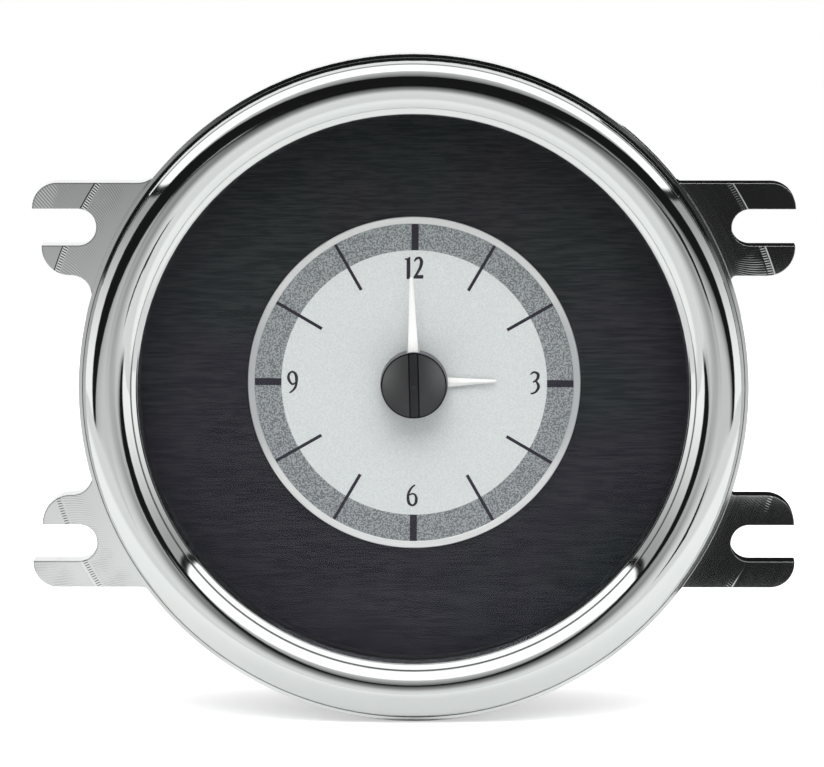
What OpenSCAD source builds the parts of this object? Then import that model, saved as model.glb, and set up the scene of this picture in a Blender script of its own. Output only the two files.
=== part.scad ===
// Car dashboard clock: a billet bezel with four slotted ears, a brushed dial and a geared stepper movement.
// Every sub-part is drawn in the dial's own frame: x to the right, y to twelve o'clock, z to the viewer.
// z = 0 is the front face of the ears, which bears on the back of the dashboard.

/* [Bezel] */
// Radius of the rim that stands through the dashboard
rim_r = 52.65; // [48:0.05:60]
// Height of the rim's wall above the ears
rim_h = 4.7; // [4:0.1:6]
// Width of the rim's flat front face
rim_face_w = 0.6; // [0.3:0.05:0.9]
// Step in from the rim to the body behind the ears' front face
body_step = 0.6; // [0.55:0.05:0.7]
// Distance of the crown's crest inside the rim
crown_inset = 4.6; // [4.2:0.05:5.4]
// Width of the crown outside its crest
crown_out_w = 3.35; // [3:0.05:3.5]
// Width of the crown inside its crest
crown_in_w = 3.68; // [3.4:0.02:3.9]
// Height of the crown's crest above its inner crease
crown_h = 1.5; // [1.2:0.05:2]
// Height of the crown's inner crease above the ears
crease_z = 7.8; // [7.6:0.1:9]
// Step down from the inner crease to the inner ledge
inner_step = 0.35; // [0.1:0.05:1]
// Width of the bezel's face from the rim's edge to the window
face_w = 9.75; // [9.5:0.05:12]
// Fall of the inner ledge from under the crest to the window
ledge_fall = 0.55; // [0:0.05:0.8]
// Width of the steep bevel around the window
window_bevel_w = 0.45; // [0.2:0.05:0.9]
// Depth of the steep bevel around the window
window_bevel_h = 1.3; // [0.4:0.1:2]
// Height of the lens seat above the ears
lens_seat_z = 3.2; // [2.6:0.1:4.2]
// Wall of the rim around the bore that holds the lens and the dial
bezel_wall = 6.65; // [6.1:0.05:7.6]

/* [Ears] */
// Thickness of the ears
ear_t = 6; // [5:0.1:7]
// Height of the slots above and below the dial's axis
slot_y = 25; // [22:0.1:28]
// Width of the slots
slot_w = 5.8; // [5:0.1:6.4]
// Distance of the slots' round ends' centres outside the rim
slot_end_gap = 0.25; // [-0.6:0.05:1.4]
// Width of the prongs outside the slots
outer_prong_w = 4.1; // [4:0.1:5]
// Width of the prongs inside the slots
inner_prong_w = 4.7; // [4.5:0.1:5.5]
// Reach of the outer prongs past the rim
outer_reach = 7.45; // [6.4:0.05:11]
// Reach of the right inner prongs past the rim
right_inner_reach = 7.35; // [5.4:0.05:11]
// Reach of the left inner prongs past the rim
left_inner_reach = 5.95; // [5.4:0.05:11]
// Corner radius of the outer prongs
outer_corner_r = 3.9; // [1:0.1:4]
// Corner radius of the inner prongs
inner_corner_r = 4.4; // [1:0.1:4.5]
// Fillet between the left inner prongs and the rim
left_inner_fillet_r = 3.2; // [0.5:0.1:4]
// Fillet between the right inner prongs and the rim
right_inner_fillet_r = 0.8; // [0.3:0.1:4]
// Fillet between the outer edge of the left ears and the rim
left_edge_fillet_r = 3.5; // [0.5:0.1:4]
// Fillet between the outer edge of the right ears and the rim
right_edge_fillet_r = 0.6; // [0.3:0.1:4]

/* [Lens and dial] */
// Thickness of the lens
lens_t = 1.6; // [1.4:0.1:1.8]
// Thickness of the gasket under the bezel's lip
lens_gasket_t = 0.5; // [0.3:0.1:0.7]
// Width of the bezel's lip that the gasket leaves bare
gasket_setback = 0.3; // [0.1:0.1:1]
// Depth of the dial's face below the ears' front face
dial_depth = 5.6; // [5:0.1:6]
// Thickness of the black dial plate
dial_t = 0.8; // [0.5:0.1:1.2]
// Radius of the silver dial centre
centre_r = 26.2; // [24:0.1:30]
// Height that the dial centre stands above the black plate
centre_rise = 0.3; // [0.1:0.05:0.4]
// Chamfer around the dial centre
centre_chamfer = 0.2; // [0.05:0.05:0.25]
// Wall of the spacer ring between the lens and the dial
spacer_wall = 2.4; // [1.5:0.1:2.8]
// Thickness of the light guide behind the dial
guide_t = 2.5; // [2:0.1:4]

/* [Hands] */
// Length of the minute hand from the axis
minute_len = 17.1; // [14:0.1:19]
// Width of the minute hand at the axis
minute_root_w = 1.6; // [1.2:0.1:2]
// Width of the minute hand at its tip
minute_tip_w = 0.7; // [0.4:0.1:1]
// Angle of the minute hand from twelve o'clock, against the clock
minute_angle = 1.45; // [-180:0.05:180]
// Length of the hour hand from the axis
hour_len = 13; // [10:0.1:14]
// Width of the hour hand at the axis
hour_root_w = 1.5; // [1.2:0.1:2]
// Width of the hour hand at its tip
hour_tip_w = 0.35; // [0.2:0.05:1]
// Angle of the hour hand from three o'clock, against the clock
hour_angle = 1.4; // [-180:0.05:180]
// Thickness of the hands' blades
blade_t = 0.5; // [0.3:0.05:0.6]
// Radius of the hub cap at the foot of its skirt
cap_r = 5.35; // [4.5:0.05:6]
// Step in of the hub cap's skirt from its foot to its rim
cap_draft = 0.15; // [0.05:0.05:0.3]
// Height of the hub cap's skirt
cap_skirt_h = 3.8; // [3.6:0.05:4]
// Height of the hub cap's dome above its skirt
cap_dome_h = 0.55; // [0.4:0.05:0.7]
// Wall of the hub cap
cap_wall = 0.6; // [0.4:0.05:0.8]
// Width of the groove across the hub cap
cap_groove_w = 1.6; // [1:0.1:2]
// Depth of the groove across the hub cap
cap_groove_d = 0.3; // [0.1:0.05:0.4]

/* [Rear case] */
// Thickness of the gasket between the bezel and the case
case_gasket_t = 0.5; // [0.3:0.1:1]
// Step in from the bezel's rim to the case's flange
case_step = 1.15; // [0.6:0.05:1.2]
// Width of the case's flange around the can
case_flange_w = 5.5; // [5.4:0.1:6]
// Thickness of the case's flange
case_flange_t = 3.5; // [3:0.1:5]
// Wall of the case
case_wall = 2; // [1.5:0.1:2.4]
// Rounding of the case's back edge
case_corner_r = 4; // [2.5:0.1:6]
// Number of case screws
case_screw_count = 6; // [4:1:8]
// Distance of the case screws' middles inside the edge of the case's flange
case_screw_inset = 2.5; // [2.3:0.1:2.9]
// Radius of the case screws' shanks
case_screw_r = 1.25; // [1:0.05:1.4]
// Radius of the set knob
knob_r = 6; // [5:0.1:8]
// Length of the set knob
knob_len = 8; // [6:0.1:12]
// Number of flutes around the set knob
knob_flutes = 20; // [12:1:24]

/* [Movement] */
// Gap between the movement's plates and the posts that carry the circuit board
plate_gap = 1.5; // [1:0.1:2]
// Thickness of the movement's plates
plate_t = 1.5; // [1.2:0.1:2]
// Distance of the plate pillars' middles inside the edge of the plates
pillar_inset = 4; // [3.5:0.1:4.5]
// Radius of the plate pillars
pillar_r = 2.4; // [2:0.1:2.6]
// Radius of the movement screws
movement_screw_r = 1; // [0.8:0.05:1.2]
// Module of the gears that join the two hands
motion_module = 0.3; // [0.27:0.01:0.31]
// Module of the gears between the rotor and the centre wheel
train_module = 0.25; // [0.23:0.01:0.26]
// Thickness of the toothed wheels
wheel_t = 1.2; // [0.8:0.1:1.5]
// Radius of the minute arbor
arbor_r = 0.8; // [0.7:0.05:0.9]
// Radius of the hour pipe
pipe_r = 1.5; // [1.4:0.05:1.7]
// Radius of the bushing around the hour pipe
bushing_r = 2.8; // [2.3:0.1:3.2]
// Radius of the pivots of the wheels' arbors
pivot_r = 0.45; // [0.35:0.05:0.5]
// Radius of the set stem
stem_r = 1.5; // [1.2:0.05:1.7]
// Radius of the rotor's magnet
magnet_r = 2.9; // [2.5:0.1:3.1]
// Length of the rotor's magnet
magnet_h = 2.6; // [2:0.1:3.2]
// Gap between the magnet and the stator
air_gap = 0.5; // [0.3:0.05:0.7]
// Thickness of the stator and of the coil core
lamination_t = 1.2; // [0.8:0.1:1.3]
// Distance between the stator's two legs
leg_pitch = 30; // [28:0.5:31]
// Width of the stator's legs
leg_w = 5; // [4:0.1:5.5]
// Radius of the coil winding
coil_r = 4.1; // [3.4:0.1:4.3]

/* [Circuit board] */
// Gap between the circuit board's edge and the case
board_margin = 1.5; // [1:0.1:2]
// Thickness of the circuit board
board_t = 1.6; // [1:0.1:2]
// Gap between the light guide and the circuit board
board_gap = 2.5; // [2:0.1:4]
// Number of dial lamps
lamp_count = 8; // [4:1:12]
// Radius of the circle of dial lamps
lamp_ring_r = 20; // [14:0.5:24]

/* [Connector] */
// Width of the connector's shroud
plug_w = 14; // [12:0.5:15]
// Height of the connector's shroud
plug_h = 8; // [7:0.5:8.5]
// Length of the shroud behind the case
plug_len = 10; // [9:0.5:16]
// Wall of the shroud
plug_wall = 1.2; // [0.8:0.1:1.3]
// Depth of the socket
socket_depth = 9; // [8:0.5:10]
// Distance of the connector's middle inside the case's wall
plug_inset = 8; // [7.8:0.1:8.4]

/* [Hidden] */
$fn = 72;
// Fineness of the wide arcs of the crown and the hub cap
dome_fn = 720;

// How far a cutting shape runs past the face that it cuts
over = 1;
// Clearance between pieces that are only placed together
loose = 0.15;
// Clearance between a screw or pin and the hole that holds it
snug = 0.02;
// Radial clearance of a turning shaft
running = 0.05;
// Axial play of a turning piece
end_shake = 0.2;

// Radii of the bezel and the case, from the rim inwards
body_r = rim_r - body_step;
crown_mid_r = rim_r - crown_inset;
window_r = rim_r - face_w;
bore_r = rim_r - bezel_wall;
case_flange_r = rim_r - case_step;
case_screw_ring_r = case_flange_r - case_screw_inset;
case_r = case_flange_r - case_flange_w - case_wall;

// Stack of the lens, the dial and the light guide, from the lens seat backwards
lens_gasket_z = lens_seat_z - lens_gasket_t;
lens_z = lens_gasket_z - lens_t;
dial_z = -dial_depth;
dial_back_z = dial_z - dial_t;
guide_back_z = dial_back_z - guide_t;
fitted_r = bore_r - loose;
case_front_z = -ear_t - case_gasket_t;
board_z = guide_back_z - board_gap;
board_back_z = board_z - board_t;

// Ears: their edges, their tips and where they start inside the rim
ear_edge_y = slot_y + slot_w / 2 + outer_prong_w;
ear_inner_y = slot_y - slot_w / 2 - inner_prong_w;
slot_end_x = rim_r + slot_end_gap;
outer_tip_x = rim_r + outer_reach;
right_inner_tip_x = rim_r + right_inner_reach;
left_inner_tip_x = rim_r + left_inner_reach;
ear_root_depth = 14.65;
ear_root_x = rim_r - ear_root_depth;
fillet_bite = 0.06;

// Hands above the dial
hub_gap = 0.3;
hub_wall = 0.9;
hour_hub_h = 1.6;
hour_hub_z = dial_z + centre_rise + hub_gap;
hour_blade_z = hour_hub_z + end_shake;
minute_hub_h = 2.2;
minute_hub_z = hour_hub_z + hour_hub_h + end_shake;
minute_blade_z = minute_hub_z + minute_hub_h - blade_t - end_shake;
cap_gap = 0.4;
cap_notch_gap = 0.25;
cap_z = hour_blade_z + blade_t + cap_gap;
cap_rim_z = cap_z + cap_skirt_h;
cap_top_z = cap_rim_z + cap_dome_h;
cap_boss_z = minute_hub_z + minute_hub_h;
arbor_tip_z = cap_top_z - cap_wall - cap_groove_d;

// Levels of the movement, from the circuit board backwards
board_spacer_h = 1.5;
front_plate_z = board_back_z - board_spacer_h;
front_plate_back_z = front_plate_z - plate_t;
hour_wheel_hub_h = 0.6;
hour_wheel_z = front_plate_back_z - end_shake - hour_wheel_hub_h;
hour_wheel_back_z = hour_wheel_z - wheel_t;
cannon_z = hour_wheel_back_z - end_shake;
pinion_spare = 0.3;
cannon_h = wheel_t + 2 * pinion_spare;
cannon_back_z = cannon_z - cannon_h;
minute_wheel_z = cannon_z - pinion_spare;
middle_gap = 0.8;
middle_plate_z = cannon_back_z - middle_gap;
middle_plate_back_z = middle_plate_z - plate_t;
collar_t = 0.5;
collar_z = middle_plate_back_z - end_shake;
clutch_h = 0.4;
clutch_z = collar_z - collar_t;
centre_wheel_z = clutch_z - clutch_h;
centre_wheel_back_z = centre_wheel_z - wheel_t;
wheel_gap = 0.6;
third_wheel_z = centre_wheel_back_z - wheel_gap;
third_wheel_back_z = third_wheel_z - wheel_t;
magnet_gap = 1;
magnet_z = third_wheel_back_z - magnet_gap;
magnet_back_z = magnet_z - magnet_h;
stator_z = magnet_z - magnet_h / 2 + lamination_t / 2;
core_z = stator_z - lamination_t;
rear_plate_z = min(core_z - lamination_t, magnet_back_z - end_shake);
rear_plate_back_z = rear_plate_z - plate_t;
coil_z = core_z - lamination_t / 2;
bobbin_flange_r = coil_r + end_shake;
case_gap = 0.5;
case_floor_z = min(rear_plate_back_z, coil_z - bobbin_flange_r) - case_gap;
case_back_z = case_floor_z - case_wall;
pad_h = core_z - rear_plate_z;

// Tooth counts: the hour wheel turns twelve times slower than the cannon pinion,
// and the rotor turns thirty times for each turn of the centre wheel
cannon_teeth = 15;
minute_wheel_teeth = 45;
minute_pinion_teeth = 12;
hour_teeth = 48;
set_teeth = 15;
centre_teeth = 72;
third_pinion_teeth = 12;
third_teeth = 60;
rotor_teeth = 12;

// Tooth form
pressure_angle = 25;
addendum = 0.95;
dedendum = 1.25;
backlash = 0.06;

// Places of the wheels' arbors
motion_gap = (cannon_teeth + minute_wheel_teeth) / 2 * motion_module;
minute_post = [0, -motion_gap];
set_post = minute_post - [0, (minute_wheel_teeth + set_teeth) / 2 * motion_module];
third_gap = (centre_teeth + third_pinion_teeth) / 2 * train_module;
third_post = [0, third_gap];
rotor_gap = (third_teeth + rotor_teeth) / 2 * train_module;
rotor_dir = 30;
rotor_post = third_post + rotor_gap * [cos(rotor_dir), sin(rotor_dir)];

// Turn of each wheel that puts its teeth in mesh at rest
down_dir = 270;
up_dir = 90;
minute_wheel_turn = mesh_turn(down_dir, 0, cannon_teeth, minute_wheel_teeth);
set_turn = mesh_turn(down_dir, minute_wheel_turn, minute_wheel_teeth, set_teeth);
minute_pinion_turn = mesh_turn(down_dir, 0, hour_teeth, minute_pinion_teeth);
third_pinion_turn = mesh_turn(up_dir, 0, centre_teeth, third_pinion_teeth);
rotor_turn = mesh_turn(rotor_dir, 0, third_teeth, rotor_teeth);

// Arbors and small turned parts
wheel_arbor_r = 0.75;
collar_r = 2;
collet_r = 1.9;
collet_h = 0.5;
clutch_r = 2.6;
clutch_t = 0.15;
web_holes = 5;
rim_w = 1.2;

// Circuit board and plates, from the case inwards
board_r = case_r - board_margin;
board_post_angles = [0, 120, 240];
board_post_inset = 3.5;
board_post_ring_r = board_r - board_post_inset;
board_post_r = 3;
plate_r = board_post_ring_r - board_post_r - plate_gap;
pillar_angles = [10, 170, 225, 315];
pillar_ring_r = plate_r - pillar_inset;

// Screws
screw_head_h = 1.2;
movement_head_r = 1.9;
board_screw_r = 1.1;
board_screw_head_r = 2.2;
board_screw_len = 8;
case_head_r = 2.2;
case_head_h = 1.8;
case_thread_len = 5.5;
stator_screw_r = 0.8;
stator_head_r = 1.7;

// Stator and coil
stator_mid_x = 5;
stator_w = 9;
coil_rise = 9.5;
coil_y = rotor_post[1] + coil_rise;
core_w = 3.6;
bobbin_tube_r = 2.5;
bobbin_flange_t = 1;
bobbin_len = leg_pitch - leg_w - 2 * loose;
neck_notch_r = 0.5;

// Circuit board pieces
board_bush_gap = 0.4;
lamp_w = 3.5;
lamp_d = 2.8;
piece_inset = 4;
piece_ring_r = board_r - piece_inset;
chip_place = [piece_ring_r, 60];
chip_size = [5, 4, 1.5];
crystal_place = [piece_ring_r, 215];
crystal_size = [8, 3.2];
capacitor_place = [piece_ring_r, 20];
capacitor_r = 3.1;
capacitor_h = 7;

// Set stem, knob and connector
stem_bush_wall = 1.2;
stem_bush_flange_r = 4.2;
stem_bush_flange_t = 0.6;
knob_gap = 0.3;
knob_z = case_back_z - stem_bush_flange_t - knob_gap;
knob_edge = 0.8;
flute_r = 0.7;
plug_drop = case_r - plug_inset;
plug_flange = 1;
plug_flange_t = 1.2;
plug_back_z = case_back_z - plug_len;
socket_floor_z = plug_back_z + socket_depth;
pin_w = 0.64;
pin_pitch = 2.5;
pin_count = 4;
pin_reach = 3.6;
pin_solder = 0.8;
key_w = 3;

// Turns the dial frame to the part's own frame, in which the dial faces -Y and +Z is up
module facing() { rotate([90, 0, 0]) children(); }

// Disc between two heights
module disc(r, z_low, z_high) { translate([0, 0, z_low]) cylinder(r = r, h = z_high - z_low); }

// Ring between two heights
module ring(r_out, r_in, z_low, z_high) {
    difference() {
        disc(r_out, z_low, z_high);
        disc(r_in, z_low - over, z_high + over);
    }
}

// Hole through everything between two heights, at a place on the dial
module hole(place, r, z_low, z_high) {
    translate([place[0], place[1], 0]) disc(r, z_low - over, z_high + over);
}

// Point at a radius and an angle
function polar(r, angle) = [r * cos(angle), r * sin(angle)];

// Angle of one flank point of an involute tooth from the middle of the tooth
function involute(angle) = tan(angle) * 180 / PI - angle;
function flank(r, base_r, start) = start - (r > base_r ? involute(acos(base_r / r)) : 0);

// Radii at which a flank has points, from the root to the tip
function flank_radii(root_r, base_r, pitch_r, tip_r) =
    root_r < base_r ? [root_r, base_r, pitch_r, tip_r] : [root_r, pitch_r, tip_r];

// Turn of a second gear that meshes with a first one, which lies at the given direction from it
function mesh_turn(dir, first_turn, first_teeth, teeth) =
    dir + 180 - first_teeth / teeth * (first_turn - dir) - 180 / teeth;

// Outline of a spur gear with its first tooth at angle zero
module gear_outline(teeth, size) {
    pitch_r = teeth * size / 2;
    base_r = pitch_r * cos(pressure_angle);
    radii = flank_radii(pitch_r - dedendum * size, base_r, pitch_r, pitch_r + addendum * size);
    start = 90 / teeth - backlash / 2 / pitch_r * 180 / PI + involute(pressure_angle);
    last = len(radii) - 1;
    polygon([
        for (tooth = [0 : teeth - 1])
            for (side = [-1, 1])
                for (step = [0 : last])
                    let (r = radii[side < 0 ? step : last - step])
                    polar(r, tooth * 360 / teeth + side * flank(r, base_r, start))
    ]);
}

// Toothed wheel below a height, with a bore
module toothed(teeth, size, turn, z_high, h, bore) {
    translate([0, 0, z_high - h])
        linear_extrude(h)
            difference() {
                rotate(turn) gear_outline(teeth, size);
                circle(bore);
            }
}

// Toothed wheel with round holes through its web
module pierced_wheel(teeth, size, turn, z_high, bore, hub_r) {
    inner = hub_r + rim_w / 2;
    outer = (teeth / 2 - dedendum) * size - rim_w;
    translate([0, 0, z_high - wheel_t])
        linear_extrude(wheel_t)
            difference() {
                rotate(turn) gear_outline(teeth, size);
                circle(bore);
                for (i = [1 : web_holes])
                    translate(polar((inner + outer) / 2, i * 360 / web_holes))
                        circle((outer - inner) / 2);
            }
}

// One ear of the upper right quarter, seen from the front
module ear_outline(inner_tip_x, inner_fillet_r, edge_fillet_r) {
    outer_h = ear_edge_y - slot_y;
    inner_h = slot_y - ear_inner_y;
    difference() {
        union() {
            translate([ear_root_x, slot_y]) {
                square([outer_tip_x - ear_root_x - outer_corner_r, outer_h]);
                square([outer_tip_x - ear_root_x, outer_h - outer_corner_r]);
            }
            translate([outer_tip_x - outer_corner_r, ear_edge_y - outer_corner_r]) circle(outer_corner_r);
            translate([ear_root_x, ear_inner_y])
                square([inner_tip_x - ear_root_x - inner_corner_r, inner_h]);
            translate([ear_root_x, ear_inner_y + inner_corner_r])
                square([inner_tip_x - ear_root_x, inner_h - inner_corner_r]);
            translate([inner_tip_x - inner_corner_r, ear_inner_y + inner_corner_r]) circle(inner_corner_r);
            root_fillet(ear_inner_y, -1, inner_fillet_r);
            root_fillet(ear_edge_y, 1, edge_fillet_r);
        }
        translate([slot_end_x, slot_y]) circle(slot_w / 2);
        translate([slot_end_x, slot_y - slot_w / 2]) square([outer_tip_x, slot_w]);
    }
}

// Fillet between a level edge of an ear and the round of the rim, run a little way in under the rim
module root_fillet(edge_y, side, r) {
    foot_r = rim_r - fillet_bite;
    mid_y = edge_y + side * r;
    mid_x = sqrt((foot_r + r) ^ 2 - mid_y ^ 2);
    share = foot_r / (foot_r + r);
    difference() {
        polygon([[ear_root_x, edge_y], [mid_x, edge_y], [mid_x, mid_y], [mid_x * share, mid_y * share]]);
        translate([mid_x, mid_y]) circle(r);
    }
}

// Section of the crown, radius against height: a wide arc between the steep outer face and the inner crease
module crown_section() {
    crown_in = crown_mid_r - crown_in_w;
    crown_out = crown_mid_r + crown_out_w;
    arc_r = (crown_in_w ^ 2 + crown_h ^ 2) / 2 / crown_h;
    arc_z = crease_z + crown_h - arc_r;
    out_z = arc_z + sqrt(arc_r ^ 2 - crown_out_w ^ 2);
    lean = (rim_r - rim_face_w - crown_out) / (out_z - rim_h);
    root_z = (lens_seat_z + rim_h) / 2;
    clear_z = crease_z + 2 * crown_h;
    intersection() {
        translate([crown_mid_r, arc_z]) circle(arc_r, $fn = dome_fn);
        polygon([
            [crown_in, root_z], [crown_out + lean * (out_z - root_z), root_z],
            [crown_out - lean * (clear_z - out_z), clear_z], [crown_in, clear_z]
        ]);
    }
}

// Section of the bezel's ring, radius against height
module bezel_section() {
    ledge_z = crease_z - inner_step;
    bevel_z = ledge_z - ledge_fall;
    polygon([
        [bore_r, -ear_t], [body_r, -ear_t], [body_r, 0], [rim_r, 0], [rim_r, rim_h], [crown_mid_r, rim_h],
        [crown_mid_r, ledge_z], [window_r + window_bevel_w, bevel_z], [window_r, bevel_z - window_bevel_h],
        [window_r, lens_seat_z], [bore_r, lens_seat_z]
    ]);
    crown_section();
}

module bezel() {
    color("silver") facing()
        difference() {
            union() {
                rotate_extrude() bezel_section();
                difference() {
                    translate([0, 0, -ear_t])
                        linear_extrude(ear_t)
                            for (level = [0, 1])
                                mirror([0, level]) {
                                    ear_outline(right_inner_tip_x, right_inner_fillet_r, right_edge_fillet_r);
                                    mirror([1, 0])
                                        ear_outline(left_inner_tip_x, left_inner_fillet_r, left_edge_fillet_r);
                                }
                    disc(bore_r, -ear_t - over, over);
                }
            }
            for (i = [1 : case_screw_count])
                translate(polar(case_screw_ring_r, i * 360 / case_screw_count))
                    disc(case_screw_r + snug, -ear_t - over, case_thread_len - ear_t + snug);
        }
}

module lens_gasket() {
    color("black") facing()
        ring(fitted_r, window_r + gasket_setback, lens_gasket_z, lens_seat_z);
}

module lens() {
    color("lightcyan", 0.3) facing()
        disc(fitted_r, lens_z, lens_gasket_z);
}

module spacer_ring() {
    color("black") facing()
        ring(fitted_r, fitted_r - spacer_wall, dial_z, lens_z);
}

module dial_plate() {
    color("dimgray") facing()
        ring(fitted_r, centre_r + running, dial_back_z, dial_z);
}

module dial_centre() {
    face_z = dial_z + centre_rise;
    color("gainsboro") facing()
        rotate_extrude()
            polygon([
                [pipe_r + board_bush_gap, dial_back_z], [centre_r, dial_back_z],
                [centre_r, face_z - centre_chamfer], [centre_r - centre_chamfer, face_z],
                [pipe_r + board_bush_gap, face_z]
            ]);
}

module light_guide() {
    color("white", 0.6) facing()
        ring(fitted_r, bushing_r + board_bush_gap, guide_back_z, dial_back_z);
}

// Tapered blade along +x from the axis
module blade(len, root_w, tip_w) {
    polygon([[0, -root_w / 2], [len, -tip_w / 2], [len, tip_w / 2], [0, root_w / 2]]);
}

module hour_hand() {
    color("white") facing()
        difference() {
            union() {
                disc(pipe_r + hub_wall, hour_hub_z, hour_hub_z + hour_hub_h);
                translate([0, 0, hour_blade_z])
                    linear_extrude(blade_t)
                        rotate(hour_angle) blade(hour_len, hour_root_w, hour_tip_w);
            }
            disc(pipe_r + snug, hour_hub_z - over, hour_hub_z + hour_hub_h + over);
        }
}

module minute_hand() {
    color("white") facing()
        difference() {
            union() {
                disc(arbor_r + hub_wall, minute_hub_z, minute_hub_z + minute_hub_h);
                translate([0, 0, minute_blade_z])
                    linear_extrude(blade_t)
                        rotate(up_dir + minute_angle) blade(minute_len, minute_root_w, minute_tip_w);
            }
            disc(arbor_r + snug, minute_hub_z - over, minute_hub_z + minute_hub_h + over);
        }
}

// Half section of the hub cap's dome with its top at z_top, on a straight foot as deep as the dome is high
module cap_dome_section(z_top) {
    cap_rim_r = cap_r - cap_draft;
    dome_r = (cap_rim_r ^ 2 + cap_dome_h ^ 2) / 2 / cap_dome_h;
    intersection() {
        translate([0, z_top - dome_r]) circle(dome_r, $fn = dome_fn);
        translate([0, z_top - 2 * cap_dome_h]) square([cap_rim_r, 2 * cap_dome_h]);
    }
}

// Hub cap: a tapered skirt under a dome of one round arc, hollow inside but for a boss on the minute hub
module hub_cap() {
    cap_rim_r = cap_r - cap_draft;
    boss_r = arbor_r + hub_wall;
    notch_w = minute_root_w + 2 * cap_notch_gap;
    color("black") facing()
        difference() {
            rotate_extrude()
                difference() {
                    union() {
                        polygon([[0, cap_z], [cap_r, cap_z], [cap_rim_r, cap_rim_z], [0, cap_rim_z]]);
                        cap_dome_section(cap_top_z);
                    }
                    translate([0, cap_z - over]) square([arbor_r + snug, arbor_tip_z + snug - cap_z + over]);
                    translate([boss_r, cap_z - over])
                        square([cap_rim_r - cap_wall - boss_r, arbor_tip_z - cap_z + over]);
                    translate([0, cap_z - over]) square([boss_r, cap_boss_z - cap_z + over]);
                }
            rotate(minute_angle) {
                difference() {
                    translate([-cap_groove_w / 2, -2 * cap_r, cap_rim_z - cap_groove_d])
                        cube([cap_groove_w, 4 * cap_r, 2 * cap_dome_h]);
                    rotate_extrude() cap_dome_section(cap_top_z - cap_groove_d);
                }
                translate([-notch_w / 2, boss_r, cap_z - over])
                    cube([notch_w, cap_r, minute_blade_z + blade_t + loose - cap_z + over]);
            }
        }
}

// Places of the case screws as clearance holes
module case_screw_holes(z_low, z_high) {
    for (i = [1 : case_screw_count])
        hole(polar(case_screw_ring_r, i * 360 / case_screw_count), case_screw_r + loose, z_low, z_high);
}

module case_gasket() {
    color("black") facing()
        difference() {
            ring(case_flange_r, bore_r, case_front_z, -ear_t);
            case_screw_holes(case_front_z, -ear_t);
        }
}

// Half section of a round can with a rounded back edge
module can_section(r, z_front, z_back, corner) {
    translate([0, z_back + corner]) square([r, z_front - z_back - corner]);
    translate([0, z_back]) square([r - corner, corner]);
    translate([r - corner, z_back + corner]) circle(corner);
}

module rear_case() {
    color("dimgray") facing()
        difference() {
            union() {
                rotate_extrude()
                    difference() {
                        union() {
                            can_section(case_r + case_wall, case_front_z, case_back_z, case_corner_r);
                            translate([0, case_front_z - case_flange_t])
                                square([case_flange_r, case_flange_t]);
                        }
                        can_section(case_r, case_front_z + over, case_floor_z, case_corner_r - case_wall);
                        translate([0, guide_back_z]) square([bore_r, case_front_z - guide_back_z + over]);
                    }
                for (angle = board_post_angles)
                    translate(polar(board_post_ring_r, angle))
                        disc(board_post_r, case_floor_z - case_wall / 2, board_back_z);
            }
            for (angle = board_post_angles)
                translate(polar(board_post_ring_r, angle))
                    disc(board_screw_r + snug, board_z - board_screw_len - snug, board_z);
            case_screw_holes(case_front_z - case_flange_t, case_front_z);
            hole(set_post, stem_r + running + stem_bush_wall + snug, case_back_z, case_floor_z);
            translate([0, -plug_drop, case_back_z - over])
                linear_extrude(case_wall + 2 * over)
                    square([plug_w + 2 * snug, plug_h + 2 * snug], center = true);
        }
}

module case_screws() {
    seat_z = case_front_z - case_flange_t;
    color("gray") facing()
        for (i = [1 : case_screw_count])
            translate(polar(case_screw_ring_r, i * 360 / case_screw_count)) {
                disc(case_screw_r, seat_z - case_head_h / 2, case_thread_len - ear_t);
                disc(case_head_r, seat_z - case_head_h, seat_z);
            }
}

// Row of connector pins seen along the dial's axis
module pin_row(w) {
    for (i = [1 : pin_count])
        translate([(i - (pin_count + 1) / 2) * pin_pitch, -plug_drop]) square(w, center = true);
}

module circuit_board() {
    color("darkgreen") facing()
        difference() {
            ring(board_r, bushing_r + board_bush_gap, board_back_z, board_z);
            for (angle = board_post_angles)
                hole(polar(board_post_ring_r, angle), board_screw_r + loose, board_back_z, board_z);
            for (angle = pillar_angles)
                hole(polar(pillar_ring_r, angle), movement_screw_r + loose, board_back_z, board_z);
            translate([0, 0, board_back_z - over])
                linear_extrude(board_t + 2 * over)
                    pin_row(pin_w + 2 * snug);
        }
}

module board_screws() {
    color("gray") facing()
        for (angle = board_post_angles)
            translate(polar(board_post_ring_r, angle)) {
                disc(board_screw_r, board_z - board_screw_len, board_z + screw_head_h / 2);
                disc(board_screw_head_r, board_z, board_z + screw_head_h);
            }
}

module dial_lamps() {
    color("lightyellow") facing()
        for (i = [1 : lamp_count])
            rotate((i - 1 / 2) * 360 / lamp_count)
                translate([lamp_ring_r, 0, board_z])
                    linear_extrude(board_gap - end_shake)
                        square([lamp_d, lamp_w], center = true);
}

module control_chip() {
    color("black") facing()
        rotate(chip_place[1])
            translate([chip_place[0], 0, board_back_z - chip_size[2]])
                linear_extrude(chip_size[2])
                    square([chip_size[0], chip_size[1]], center = true);
}

module quartz_crystal() {
    can_r = crystal_size[1] / 2;
    color("silver") facing()
        rotate(crystal_place[1])
            translate([crystal_place[0], crystal_size[0] / 2, board_back_z - can_r])
                rotate([90, 0, 0]) cylinder(r = can_r, h = crystal_size[0]);
}

module smoothing_capacitor() {
    color("midnightblue") facing()
        translate(polar(capacitor_place[0], capacitor_place[1]))
            disc(capacitor_r, board_back_z - capacitor_h, board_back_z);
}

// Tubes around the movement screws between two heights
module screw_tubes(z_low, z_high) {
    for (angle = pillar_angles)
        translate(polar(pillar_ring_r, angle)) ring(pillar_r, movement_screw_r + snug, z_low, z_high);
}

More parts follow.
